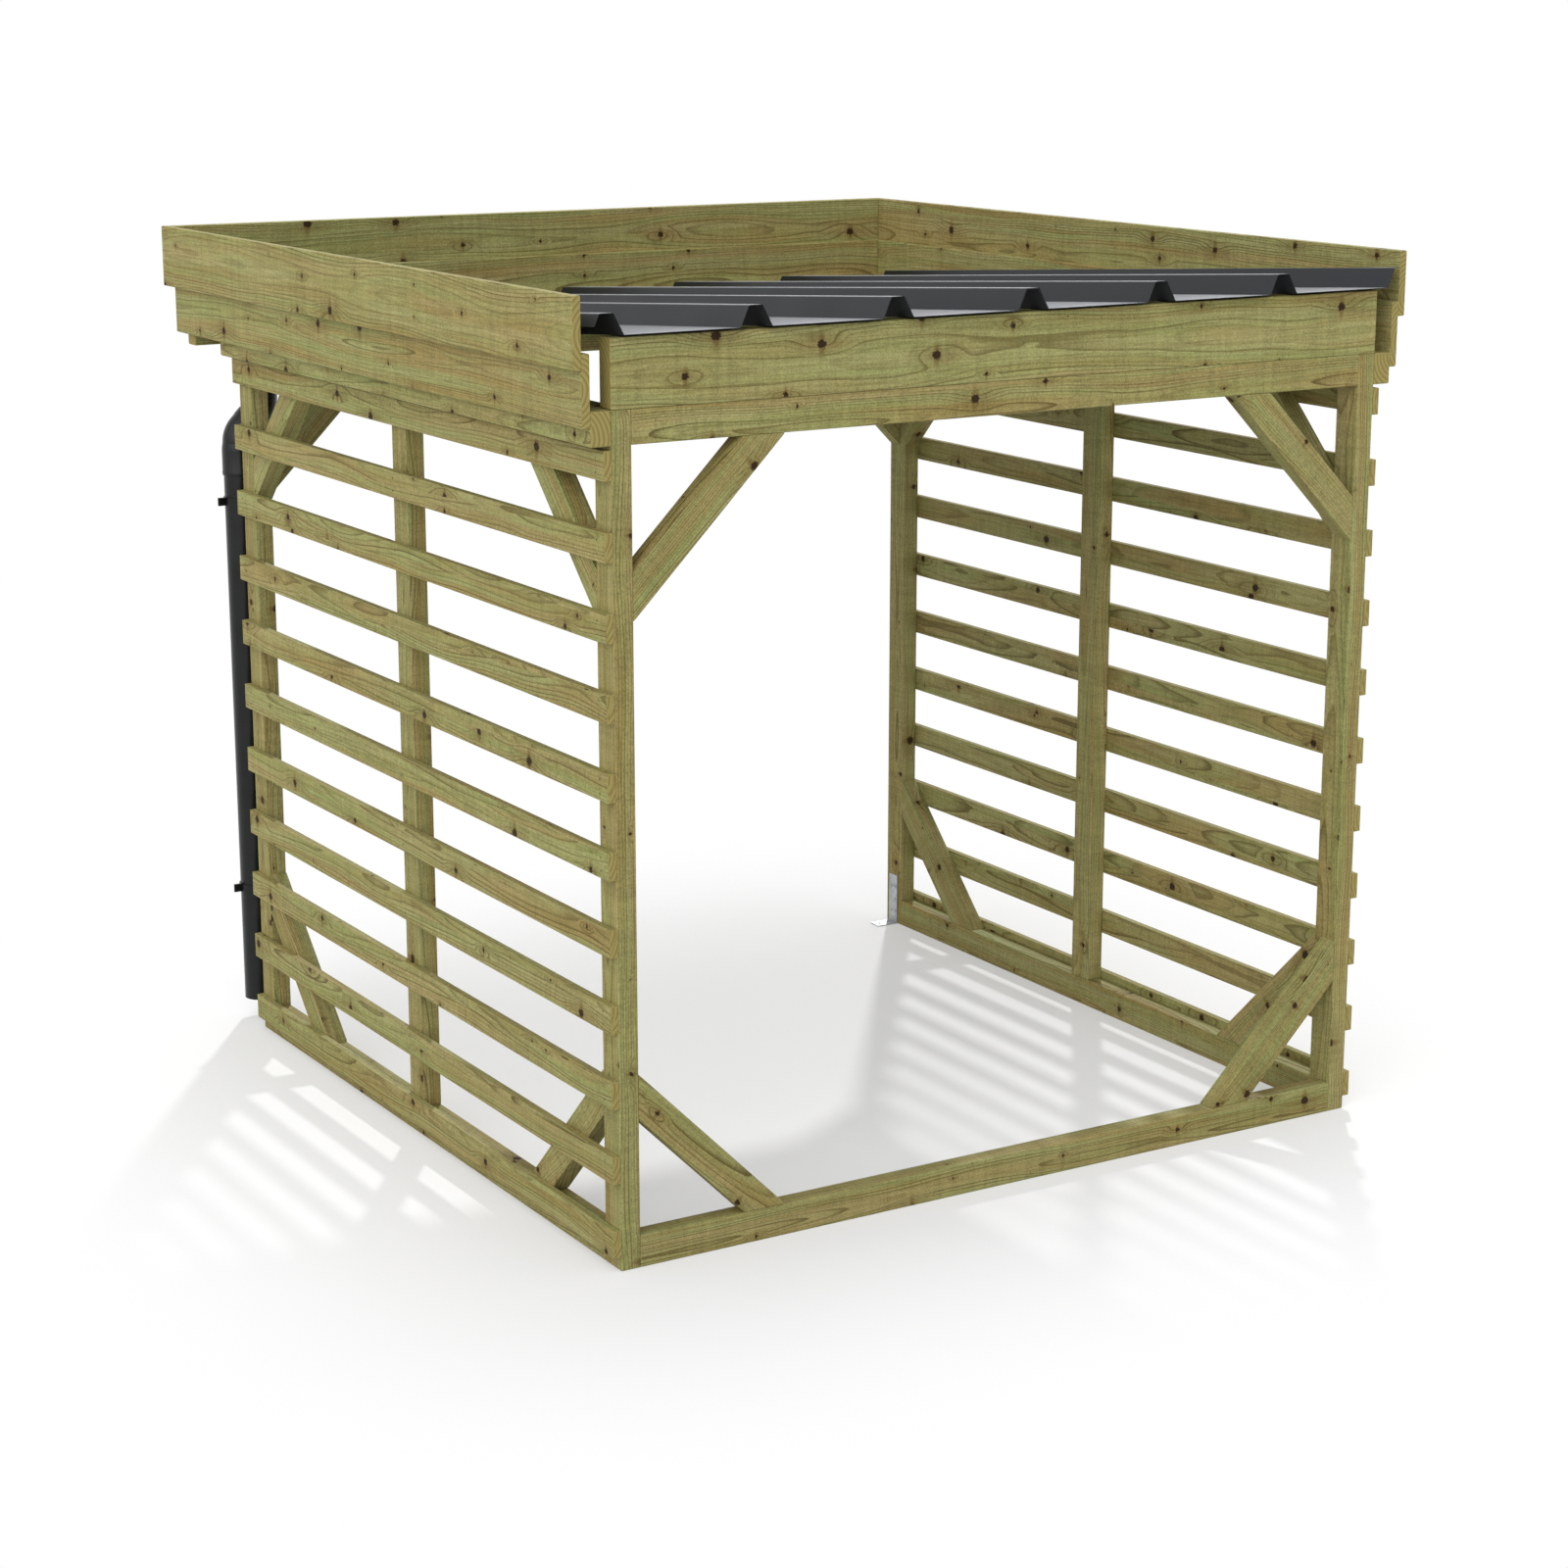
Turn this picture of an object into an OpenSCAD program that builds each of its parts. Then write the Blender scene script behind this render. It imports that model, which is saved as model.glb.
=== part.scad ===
// Log store: an open frame of square-edged timber with slatted sides, a stepped fascia
// on three sides and a ribbed steel roof that falls to a gutter inside the rear fascia.
// Lengths are in millimetres. X runs across the front, Y runs to the back and Z is up.
// The origin is on the ground, in the middle of the whole outline.

/* [Frame] */
// Width over the outer faces of the posts
frame_w = 1935; // [1500:5:2600]
// Depth from the front of the front posts to the back of the rear posts
frame_d = 1900; // [1500:5:2600]
// Height of the posts
post_h = 1778; // [1500:1:2200]
// Thin side of the frame timber
timber_t = 45; // [38:1:60]
// Wide side of the frame timber
timber_w = 70; // [60:1:95]
// Reach of a brace along the post from the inside of its corner
brace_reach = 350; // [250:1:450]

/* [Slats] */
// Height of a slat
slat_h = 60; // [45:1:75]
// Thickness of a slat
slat_t = 17; // [12:1:25]
// Distance from one slat to the next
slat_pitch = 161; // [110:1:200]
// Height of the lowest slat above the ground
slat_ground = 30; // [10:1:60]

/* [Fascia] */
// Height of a fascia board
board_h = 145; // [120:1:195]
// Thickness of a side fascia board
board_t = 18; // [15:1:28]
// Thickness of a rear fascia board
rear_board_t = 28; // [15:1:35]
// Lap of each fascia board over what it is fixed to
board_lap = 33; // [20:1:50]
// Space for the gutter between the rear posts and the rear fascia beam
gutter_space = 164; // [150:1:260]
// How far the rear fascia beam shows below the lower fascia board
rear_beam_drop = 29; // [10:1:36]

/* [Roof] */
// Height of the front roof beam, which sets the fall of the roof
roof_beam_h = 140; // [100:1:180]
// Overhang of the roof in front of the posts
roof_front = 20; // [5:1:60]
// Gap between the lower edge of the roof sheet and the rear fascia beam
eaves_gap = 14; // [10:1:40]
// Thickness of the roof sheet
sheet_t = 1.2; // [0.8:0.1:2]
// Distance between two ribs of the roof sheet
rib_pitch = 333.3; // [300:0.1:360]
// Height of a rib
rib_h = 43; // [30:1:50]
// Width of a rib at its foot
rib_foot = 72; // [60:1:90]
// Width of the flat top of a rib
rib_top = 30; // [20:1:40]
// Sideways place of the middle rib
rib_shift = 16; // [0:1:40]

/* [Gutter] */
// Outer radius of the gutter
gutter_r = 55; // [45:1:60]
// Wall of the gutter and its pipes
gutter_wall = 2; // [1.5:0.1:3]
// Distance from the outer face of a rear post to the gutter's end
gutter_inset = 43; // [0:1:50]
// Height of the gutter's rim below the tops of the posts
gutter_drop = 28; // [20:1:40]
// Outer radius of the downpipe
pipe_r = 40; // [30:1:42]
// Distance from the outer face of the rear post to the middle of the downpipe
pipe_inset = 35; // [20:1:60]
// Height of the downpipe's lower end above the ground
pipe_ground = 49; // [30:1:150]
// Length of the outlet below the gutter
outlet_l = 114; // [60:1:130]
// Sideways offset from the outlet to the downpipe
neck_offset = 62; // [54:1:110]
// Turn of each of the two elbows between the outlet and the downpipe
elbow_turn = 45; // [30:1:60]
// Radius of the middle line of each elbow
elbow_r = 48; // [44:1:60]
// Number of gutter brackets
gutter_bracket_n = 4; // [2:1:6]
// Height of the middle of the lower pipe clip
clip_low_z = 344; // [200:1:500]
// Height of the middle of the upper pipe clip
clip_high_z = 1335; // [900:1:1380]

/* [Fittings] */
// Thickness of the steel straps and angle brackets
strap_t = 3; // [2:0.5:5]
// Width of a gutter bracket and of a pipe clip
strap_w = 20; // [15:1:30]
// Width of an angle bracket
angle_w = 40; // [30:1:60]
// Height of an angle bracket's upright leg
angle_h = 140; // [100:1:180]
// Length of an angle bracket's foot
angle_l = 65; // [50:1:90]
// Radius of the anchor holes in an angle bracket's foot
anchor_r = 5.5; // [4:0.5:7]
// Distance between the two anchor holes
anchor_pitch = 30; // [24:1:40]
// Radius of the screw holes in an angle bracket's upright leg
screw_r = 2.5; // [2:0.5:3.5]

/* [Fit] */
// Clearance where round or sloping faces meet
seat_gap = 0.3; // [0.1:0.1:0.5]
// Clearance between the roof sheet and the fascia
edge_gap = 2; // [1:0.5:5]

/* [Hidden] */
$fn = 64;
cut = 1;
pine = "#918B58";
sheet_grey = "#42474A";
pipe_grey = "#2E3032";
zinc_grey = "#A9ABAD";
overall_d = roof_front + frame_d + gutter_space + timber_t + 2 * rear_board_t;
left_x = -frame_w / 2;
front_y = roof_front - overall_d / 2;
rear_y = front_y + frame_d;
stud_y = front_y + frame_d / 2;
plate_z = post_h - timber_w;
slat_n = floor((plate_z - slat_ground - slat_h) / slat_pitch) + 1;
lower_inner_x = left_x - timber_t;
upper_inner_x = lower_inner_x - board_t;
lower_z = post_h - board_lap;
upper_z = lower_z + board_h - board_lap;
rear_beam_y = rear_y + gutter_space;
lower_rear_y = rear_beam_y + timber_t;
upper_rear_y = lower_rear_y + rear_board_t;
roof_fall = atan(roof_beam_h / (frame_d - timber_t));
roof_end_y = rear_beam_y - eaves_gap;
roof_l = (roof_end_y - front_y + roof_front) / cos(roof_fall);
sheet_x = -lower_inner_x - edge_gap;
rib_run = (rib_foot - rib_top) / 2 / rib_h;
rib_n = ceil((sheet_x + rib_shift) / rib_pitch);
gutter_y = rear_beam_y - strap_t - seat_gap - gutter_r;
gutter_z = post_h - gutter_drop;
pipe_x = left_x + pipe_inset;
outlet_x = pipe_x + neck_offset;
outlet_z = gutter_z - gutter_r - outlet_l;
elbow_step = elbow_r * (1 - cos(elbow_turn));
elbow_rise = elbow_r * sin(elbow_turn);
neck_l = (neck_offset - 2 * elbow_step) / sin(elbow_turn);
pipe_top_z = outlet_z - 2 * elbow_rise - neck_l * cos(elbow_turn);
clip_r = pipe_r + seat_gap;

// Height of the underside of the roof sheet above the ground at a place along the depth
function roof_z(y) = post_h + seat_gap + (rear_y - y) * tan(roof_fall);

// The right half of the frame repeats the left half
module other_side() {
    mirror([1, 0, 0]) children();
}

// A post against the left side, its front face at y
module post(y) {
    translate([left_x, y, 0]) cube([timber_t, timber_w, post_h]);
}

// A 45 degree brace in its corner: the corner is the origin, the legs run along +X and +Z
module brace() {
    inner_reach = brace_reach - timber_w * sqrt(2);
    translate([0, timber_t, 0]) rotate([90, 0, 0]) linear_extrude(timber_t)
        polygon([[inner_reach, 0], [brace_reach, 0], [0, brace_reach], [0, inner_reach]]);
}

// A brace of the front or rear frame at the left post
module cross_brace(y, upper) {
    translate([left_x + timber_t, y, upper ? plate_z : timber_w])
        mirror([0, 0, upper ? 1 : 0]) brace();
}

// A brace of the left wall, at its front post or at its rear post
module wall_brace(rear, upper) {
    post_face_y = rear ? rear_y - timber_w : front_y + timber_w;
    translate([left_x + timber_t, post_face_y, upper ? plate_z : timber_w])
        mirror([0, 0, upper ? 1 : 0]) mirror([0, rear ? 1 : 0, 0]) rotate([0, 0, 90]) brace();
}

module front_left_post() { color(pine) post(front_y); }
module front_right_post() { color(pine) other_side() post(front_y); }
module rear_left_post() { color(pine) post(rear_y - timber_w); }
module rear_right_post() { color(pine) other_side() post(rear_y - timber_w); }

// A stud stands on the side sill and carries the side plate
module stud() {
    translate([left_x, stud_y, timber_w]) cube([timber_t, timber_w, plate_z - timber_w]);
}

module left_stud() { color(pine) stud(); }
module right_stud() { color(pine) other_side() stud(); }

// A rail between the two posts of the front or rear frame
module cross_rail(y, z) {
    rail_l = frame_w - 2 * timber_t;
    translate([-rail_l / 2, y, z]) cube([rail_l, timber_t, timber_w]);
}

// A rail between the two posts of the left wall
module wall_rail(z) {
    translate([left_x, front_y + timber_w, z]) cube([timber_t, frame_d - 2 * timber_w, timber_w]);
}

module front_sill() { color(pine) cross_rail(front_y, 0); }
module left_sill() { color(pine) wall_rail(0); }
module right_sill() { color(pine) other_side() wall_rail(0); }
module front_plate() { color(pine) cross_rail(front_y, plate_z); }
module rear_plate() { color(pine) cross_rail(rear_y - timber_t, plate_z); }
module left_plate() { color(pine) wall_rail(plate_z); }
module right_plate() { color(pine) other_side() wall_rail(plate_z); }

// The beam outside the posts that holds the side fascia clear of the slats
module side_beam() {
    translate([lower_inner_x, front_y, plate_z]) cube([timber_t, frame_d, timber_w]);
}

module left_beam() { color(pine) side_beam(); }
module right_beam() { color(pine) other_side() side_beam(); }

// The slats of one side, nailed to the outer faces of the posts and the stud
module slats() {
    for (i = [0 : slat_n - 1])
        translate([left_x - slat_t, front_y, slat_ground + i * slat_pitch])
            cube([slat_t, frame_d, slat_h]);
}

module left_slats() { color(pine) slats(); }
module right_slats() { color(pine) other_side() slats(); }

module front_left_upper_brace() { color(pine) cross_brace(front_y, true); }
module front_right_upper_brace() { color(pine) other_side() cross_brace(front_y, true); }
module front_left_lower_brace() { color(pine) cross_brace(front_y, false); }
module front_right_lower_brace() { color(pine) other_side() cross_brace(front_y, false); }
module rear_left_upper_brace() { color(pine) cross_brace(rear_y - timber_t, true); }
module rear_right_upper_brace() { color(pine) other_side() cross_brace(rear_y - timber_t, true); }
module left_front_upper_brace() { color(pine) wall_brace(false, true); }
module left_rear_upper_brace() { color(pine) wall_brace(true, true); }
module left_front_lower_brace() { color(pine) wall_brace(false, false); }
module left_rear_lower_brace() { color(pine) wall_brace(true, false); }
module right_front_upper_brace() { color(pine) other_side() wall_brace(false, true); }
module right_rear_upper_brace() { color(pine) other_side() wall_brace(true, true); }
module right_front_lower_brace() { color(pine) other_side() wall_brace(false, false); }
module right_rear_lower_brace() { color(pine) other_side() wall_brace(true, false); }

// The front roof beam stands on the front posts and carries the high end of the roof
module front_roof_beam() {
    color(pine) translate([left_x, front_y, post_h]) cube([frame_w, timber_t, roof_beam_h]);
}

// The middle purlin lies on the side plates above the studs and reaches up to the roof sheet
module middle_purlin() {
    purlin_h = roof_z(stud_y + timber_t) - seat_gap - post_h;
    color(pine) translate([left_x, stud_y, post_h]) cube([frame_w, timber_t, purlin_h]);
}

// A board or beam across the back, between two side boards whose inner faces are at x
module rear_board(x, y, z, thick, high) {
    translate([x, y, z]) cube([-2 * x, thick, high]);
}

// A side board, its inner face at x
module side_board(x, z, end_y) {
    translate([x - board_t, front_y, z]) cube([board_t, end_y - front_y, board_h]);
}

module rear_fascia_beam() {
    color(pine) rear_board(lower_inner_x, rear_beam_y, lower_z - rear_beam_drop, timber_t, timber_w);
}
module left_lower_fascia() { color(pine) side_board(lower_inner_x, lower_z, upper_rear_y); }
module right_lower_fascia() { color(pine) other_side() side_board(lower_inner_x, lower_z, upper_rear_y); }
module rear_lower_fascia() {
    color(pine) rear_board(lower_inner_x, lower_rear_y, lower_z, rear_board_t, board_h);
}
module left_upper_fascia() { color(pine) side_board(upper_inner_x, upper_z, upper_rear_y + rear_board_t); }
module right_upper_fascia() {
    color(pine) other_side() side_board(upper_inner_x, upper_z, upper_rear_y + rear_board_t);
}
module rear_upper_fascia() {
    color(pine) rear_board(upper_inner_x, upper_rear_y, upper_z, rear_board_t, board_h);
}

// Section of one rib, with its flanks and top moved outwards by grow
module rib(x, grow) {
    flank = grow * sqrt(1 + rib_run * rib_run);
    foot = rib_foot / 2 + flank;
    below = foot + cut * rib_run;
    top = foot - (rib_h + grow) * rib_run;
    translate([x, 0])
        polygon([[-below, -cut], [below, -cut], [top, rib_h + grow], [-top, rib_h + grow]]);
}

// Section of ribbed sheet, before it is trimmed to its width
module ribbed_section(first, last) {
    intersection() {
        difference() {
            union() {
                translate([-sheet_x, 0]) square([2 * sheet_x, sheet_t]);
                for (i = [first : last]) rib(rib_shift + i * rib_pitch, sheet_t);
            }
            for (i = [first : last]) rib(rib_shift + i * rib_pitch, 0);
        }
        translate([-sheet_x, 0]) square([2 * sheet_x, rib_h + rib_foot]);
    }
}

// A section of roof sheet laid on the fall of the roof
module laid_on_roof() {
    translate([0, roof_end_y, roof_z(roof_end_y)]) rotate([90 - roof_fall, 0, 0])
        linear_extrude(roof_l) children();
}

// The left sheet ends with the whole middle rib
module left_roof_sheet() {
    color(sheet_grey) laid_on_roof()
        intersection() {
            ribbed_section(-rib_n, 0);
            translate([-sheet_x, 0]) square([sheet_x + rib_shift + rib_foot / 2, rib_h + rib_foot]);
        }
}

// The right sheet laps over the middle rib with a slightly larger rib
module right_roof_sheet() {
    lap = sheet_t + seat_gap;
    color(sheet_grey) laid_on_roof()
        difference() {
            union() {
                intersection() {
                    ribbed_section(1, rib_n);
                    translate([rib_shift, 0]) square([sheet_x - rib_shift, rib_h + rib_foot]);
                }
                intersection() {
                    rib(rib_shift, lap + sheet_t);
                    union() {
                        translate([rib_shift - rib_foot, lap]) square([rib_foot, rib_h + rib_foot]);
                        translate([rib_shift, 0]) square([rib_foot, rib_h + rib_foot]);
                    }
                }
            }
            rib(rib_shift, lap);
        }
}

// Half-round trough along X: a length of the lower half of a cylinder
module trough(r, l) {
    intersection() {
        rotate([0, 90, 0]) cylinder(r = r, h = l, center = true);
        translate([-l / 2, -r, -r]) cube([l, 2 * r, r]);
    }
}

// The gutter is open at both ends and has one hole, above the outlet
module gutter() {
    gutter_l = frame_w - 2 * (gutter_inset + gutter_wall);
    color(pipe_grey) translate([0, gutter_y, gutter_z])
        difference() {
            trough(gutter_r, gutter_l);
            rotate([0, 90, 0])
                cylinder(r = gutter_r - gutter_wall, h = gutter_l + 2 * cut, center = true);
            translate([outlet_x, 0, -2 * gutter_r]) cylinder(r = pipe_r - gutter_wall, h = 2 * gutter_r);
        }
}

// A stop end closes each end of the gutter
module gutter_ends() {
    color(pipe_grey)
        for (side = [-1, 1])
            translate([side * (frame_w / 2 - gutter_inset - gutter_wall / 2), gutter_y, gutter_z])
                trough(gutter_r, gutter_wall);
}

// Each bracket is a strap under the gutter with a back plate on the rear fascia beam.
// The end brackets stand clear of the outlet.
module gutter_brackets() {
    strap_r = gutter_r + seat_gap;
    plate_h = 2 * strap_w;
    end_x = outlet_x + 2 * pipe_r;
    bracket_pitch = -2 * end_x / (gutter_bracket_n - 1);
    color(pipe_grey)
        for (i = [0 : gutter_bracket_n - 1])
            translate([end_x + i * bracket_pitch, gutter_y, gutter_z]) {
                difference() {
                    trough(strap_r + strap_t, strap_w);
                    trough(strap_r, strap_w + cut);
                }
                translate([-strap_w / 2, strap_r, -plate_h / 2]) cube([strap_w, strap_t, plate_h]);
            }
}

// A straight length of pipe along Z
module straight_pipe(l) {
    linear_extrude(l) pipe_section();
}

// A bend of the pipe in the XZ plane: it starts on the X axis and turns towards +Z
module elbow() {
    rotate([90, 0, 0]) rotate_extrude(angle = elbow_turn) translate([elbow_r, 0]) pipe_section();
}

module pipe_section() {
    difference() {
        circle(r = pipe_r);
        circle(r = pipe_r - gutter_wall);
    }
}

// The outlet is saddled under the gutter, round its hole
module gutter_outlet() {
    color(pipe_grey) translate([outlet_x, gutter_y, outlet_z])
        difference() {
            straight_pipe(outlet_l + gutter_r);
            translate([-gutter_r, 0, outlet_l + gutter_r]) rotate([0, 90, 0])
                cylinder(r = gutter_r + seat_gap, h = 2 * gutter_r);
        }
}

// Two elbows and a slanted pipe lead from the outlet sideways to the downpipe
module upper_elbow() {
    color(pipe_grey) translate([outlet_x - elbow_r, gutter_y, outlet_z]) mirror([0, 0, 1]) elbow();
}
module neck_pipe() {
    color(pipe_grey) translate([pipe_x + elbow_step, gutter_y, pipe_top_z + elbow_rise])
        rotate([0, elbow_turn, 0]) straight_pipe(neck_l);
}
module lower_elbow() {
    color(pipe_grey) translate([pipe_x + elbow_r, gutter_y, pipe_top_z]) mirror([1, 0, 0]) elbow();
}

module downpipe() {
    pipe_l = pipe_top_z - pipe_ground;
    color(pipe_grey) translate([pipe_x, gutter_y, pipe_ground]) straight_pipe(pipe_l);
}

// A clip is a ring round the pipe with two ears and a stem that reaches the middle of the rear post
module pipe_clips() {
    ear_l = strap_w;
    stem_x = (timber_t - strap_w) / 2 - pipe_inset;
    color(pipe_grey)
        for (z = [clip_low_z, clip_high_z])
            translate([pipe_x, gutter_y, z - strap_w / 2])
                difference() {
                    union() {
                        cylinder(r = clip_r + strap_t, h = strap_w);
                        translate([-clip_r - ear_l, -strap_t, 0])
                            cube([2 * (clip_r + ear_l), 2 * strap_t, strap_w]);
                        translate([stem_x, rear_y - gutter_y, 0])
                            cube([strap_w, gutter_y - rear_y, strap_w]);
                    }
                    translate([0, 0, -cut]) cylinder(r = clip_r, h = strap_w + 2 * cut);
                }
}

// An angle bracket ties the foot of a rear post to the ground
module angle_bracket() {
    post_face_x = left_x + timber_t;
    screw_pitch = angle_h / 4;
    translate([post_face_x, rear_y - timber_w / 2, 0])
        difference() {
            union() {
                translate([0, -angle_w / 2, 0]) cube([strap_t, angle_w, angle_h]);
                translate([0, -angle_w / 2, 0]) cube([angle_l, angle_w, strap_t]);
            }
            for (i = [-0.5, 0.5])
                translate([(angle_l + strap_t) / 2 + i * anchor_pitch, 0, -cut])
                    cylinder(r = anchor_r, h = strap_t + 2 * cut);
            for (i = [1 : 3], side = [-1, 1])
                translate([-cut, side * angle_w / 4, i * screw_pitch])
                    rotate([0, 90, 0]) cylinder(r = screw_r, h = strap_t + 2 * cut);
        }
}

module left_angle_bracket() { color(zinc_grey) angle_bracket(); }
module right_angle_bracket() { color(zinc_grey) other_side() angle_bracket(); }

front_left_post();
front_right_post();
rear_left_post();
rear_right_post();
left_stud();
right_stud();
front_sill();
left_sill();
right_sill();
front_plate();
rear_plate();
left_plate();
right_plate();
left_beam();
right_beam();
left_slats();
right_slats();
front_left_upper_brace();
front_right_upper_brace();
front_left_lower_brace();
front_right_lower_brace();
rear_left_upper_brace();
rear_right_upper_brace();
left_front_upper_brace();
left_rear_upper_brace();
left_front_lower_brace();
left_rear_lower_brace();
right_front_upper_brace();
right_rear_upper_brace();
right_front_lower_brace();
right_rear_lower_brace();
front_roof_beam();
middle_purlin();
rear_fascia_beam();
left_lower_fascia();
right_lower_fascia();
rear_lower_fascia();
left_upper_fascia();
right_upper_fascia();
rear_upper_fascia();
left_roof_sheet();
right_roof_sheet();
gutter();
gutter_ends();
gutter_brackets();
gutter_outlet();
upper_elbow();
neck_pipe();
lower_elbow();
downpipe();
pipe_clips();
left_angle_bracket();
right_angle_bracket();
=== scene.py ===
# %% [markdown]
# # A log store, dressed over its CAD frame
# The CAD model gives every timber, sheet and pipe its true size and place. This lesson keeps those solids
# and gives them what a camera sees: eased edges, pine grain that follows each board, bent steel sheet,
# plastic pipe fittings and the small fixings that hold it all together.

# %% Load the CAD frame
import math
import random

import bmesh
import bpy
from mathutils import Euler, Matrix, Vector


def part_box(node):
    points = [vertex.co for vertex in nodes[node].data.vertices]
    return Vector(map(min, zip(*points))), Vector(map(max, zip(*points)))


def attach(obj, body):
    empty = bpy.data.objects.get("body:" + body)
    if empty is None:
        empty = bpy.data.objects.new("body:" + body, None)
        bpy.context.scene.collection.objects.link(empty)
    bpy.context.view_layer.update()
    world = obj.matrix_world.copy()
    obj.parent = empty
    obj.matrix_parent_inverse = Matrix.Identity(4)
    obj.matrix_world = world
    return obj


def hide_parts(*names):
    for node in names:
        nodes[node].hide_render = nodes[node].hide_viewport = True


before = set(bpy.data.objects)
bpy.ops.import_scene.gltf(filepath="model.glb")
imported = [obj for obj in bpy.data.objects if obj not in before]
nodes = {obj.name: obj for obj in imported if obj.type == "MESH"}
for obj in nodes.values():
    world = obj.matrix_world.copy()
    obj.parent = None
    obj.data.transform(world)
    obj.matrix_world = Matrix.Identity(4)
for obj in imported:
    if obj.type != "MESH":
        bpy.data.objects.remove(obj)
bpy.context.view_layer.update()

# %% [markdown]
# ## The camera
# The photograph was taken from the left of the open front, from above head height, with a short telephoto
# lens. Eighteen corners of the frame were matched to the picture to find where the camera stood. A camera
# with no roll and no lens shift fits them to about two pixels, so nothing more is set.

# %% Camera
CAMERA_PLACE = (-3.9326, -6.5881, 2.5749)    # metres
LOOK_DOWN = 13.8285     # degrees below level
LOOK_RIGHT = 31.3223    # degrees to the right of straight on
LENS = 74.479           # millimetres
SENSOR = 36             # millimetres

camera = bpy.data.objects.new("camera", bpy.data.cameras.new("camera"))
bpy.context.collection.objects.link(camera)
camera.location = CAMERA_PLACE
camera.rotation_euler = (math.radians(90 - LOOK_DOWN), 0, math.radians(-LOOK_RIGHT))
camera.data.lens = LENS
camera.data.sensor_width = SENSOR
bpy.context.scene.camera = camera
print("camera at", [round(v, 3) for v in camera.location], "lens", camera.data.lens, "mm")

# %% [markdown]
# ## Helpers for materials
# Colours are written as the hex codes that a picture editor shows. Blender calculates with linear light, so
# one function turns them over. Another adds a single shader node, sets it up and links what feeds it. A
# link can name a socket or a whole node, whose first output in use is then meant.

# %% Material helpers
def linear(hex_code):
    """Linear RGBA of an sRGB hex colour."""
    parts = [int(hex_code[i:i + 2], 16) / 255 for i in (1, 3, 5)]
    return [c / 12.92 if c <= 0.04045 else ((c + 0.055) / 1.055) ** 2.4 for c in parts] + [1.0]


def add(tree, kind, links=None, values=None, stops=None, **settings):
    """Add a node: settings are its options, values its unlinked sockets, links the sockets that feed it."""
    node = tree.nodes.new("ShaderNode" + kind)
    for option, value in settings.items():
        setattr(node, option, value)
    for socket, value in (values or {}).items():
        node.inputs[socket].default_value = value
    for socket, source in (links or {}).items():
        if isinstance(source, bpy.types.Node):
            source = next(out for out in source.outputs if out.enabled)
        tree.links.new(source, node.inputs[socket])
    if stops:
        ramp = node.color_ramp
        while len(ramp.elements) < len(stops):
            ramp.elements.new(0.5)
        for element, (place, colour) in zip(ramp.elements, stops):
            element.position = place
            element.color = linear(colour) if isinstance(colour, str) else (colour, colour, colour, 1)
    return node


def new_material(name):
    """An empty material: returns it and its node tree."""
    material = bpy.data.materials.new(name)
    material.use_nodes = True
    material.node_tree.nodes.clear()
    return material, material.node_tree


def dress(name, material):
    """Give a CAD node one material in place of its own."""
    nodes[name].data.materials.clear()
    nodes[name].data.materials.append(material)


print("mid olive in linear light:", [round(c, 3) for c in linear("#918B58")[:3]])

# %% [markdown]
# ## Pressure-treated pine
# Every timber here is planed pine that was soaked in a green preservative under pressure. Pine is built
# from growth rings round the middle of the tree, the pith: a wide pale band each spring, a narrow dark one
# each summer. A solid texture of such rings, cut by the board's faces, gives arches on wide faces, lines on
# narrow faces and arcs on the ends, all from one recipe. The recipe is a node group. It takes a place in
# the board, in metres with X along the tree, and a seed that moves each board to other wood.

# %% A place in the wood
GIVEN = {"Board": "Vector", "Pith": "Vector", "Seed": "Float", "End": "Float", "Faces Y": "Float"}
MADE = {"Colour": "Color", "Roughness": "Float", "Height": "Float"}
SEED_STEP = (3.17, 1.93, 2.41)    # metres to the next board's wood

log = bpy.data.node_groups.new("pine_log", "ShaderNodeTree")
for way, sockets in (("INPUT", GIVEN), ("OUTPUT", MADE)):
    for name, kind in sockets.items():
        log.interface.new_socket(name, in_out=way, socket_type="NodeSocket" + kind)
given = log.nodes.new("NodeGroupInput").outputs
step = add(log, "VectorMath", {"Scale": given["Seed"]}, {0: SEED_STEP}, operation="SCALE")
place = add(log, "VectorMath", {0: given["Board"], 1: step}, operation="ADD")
axes = add(log, "SeparateXYZ", {0: place})
print("pine recipe takes", list(GIVEN), "and gives", list(MADE))

# %% [markdown]
# ### Waves in the wood
# Wood grows and is cut a little unevenly at every size. Six noises hold this, most of them drawn out along
# the tree. They are given as waves to a metre, with the size of a wave in millimetres beside them. Real
# fibres and grit are far finer than a millimetre and would not show, so both are drawn about 4 mm wide.

# %% Noises along the tree
NOISES = {
    # waves to a metre along and across the tree, steps of detail, roughness of the detail
    "wander": (1.5, 2.0, 1.0, 0.5),       # of the pith, 670 mm long and 500 mm wide
    "ripple": (3.0, 22.0, 2.0, 0.5),      # of the rings, 45 mm wide
    "fibre": (6.0, 260.0, 3.0, 0.6),      # 4 mm wide, coarser than real
    "streak": (1.6, 34.0, 2.0, 0.5),      # of paler wood, 30 mm wide
    "planer": (75.0, 6.0, 1.0, 0.5),      # bars across the board, 13 mm apart
    "grit": (230.0, 230.0, 2.0, 0.5),     # of torn fibres, 4 mm, coarser than real
}

noise = {}
for name, (along, across, detail, rough) in NOISES.items():
    drawn = add(log, "VectorMath", {0: place}, {1: (along, across, across)}, operation="MULTIPLY")
    noise[name] = add(log, "TexNoise", {"Vector": drawn},
                      {"Scale": 1.0, "Detail": detail, "Roughness": rough})
    print(name, "waves:", round(1000 / along, 1), "mm along,", round(1000 / across, 1), "mm across")

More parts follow.
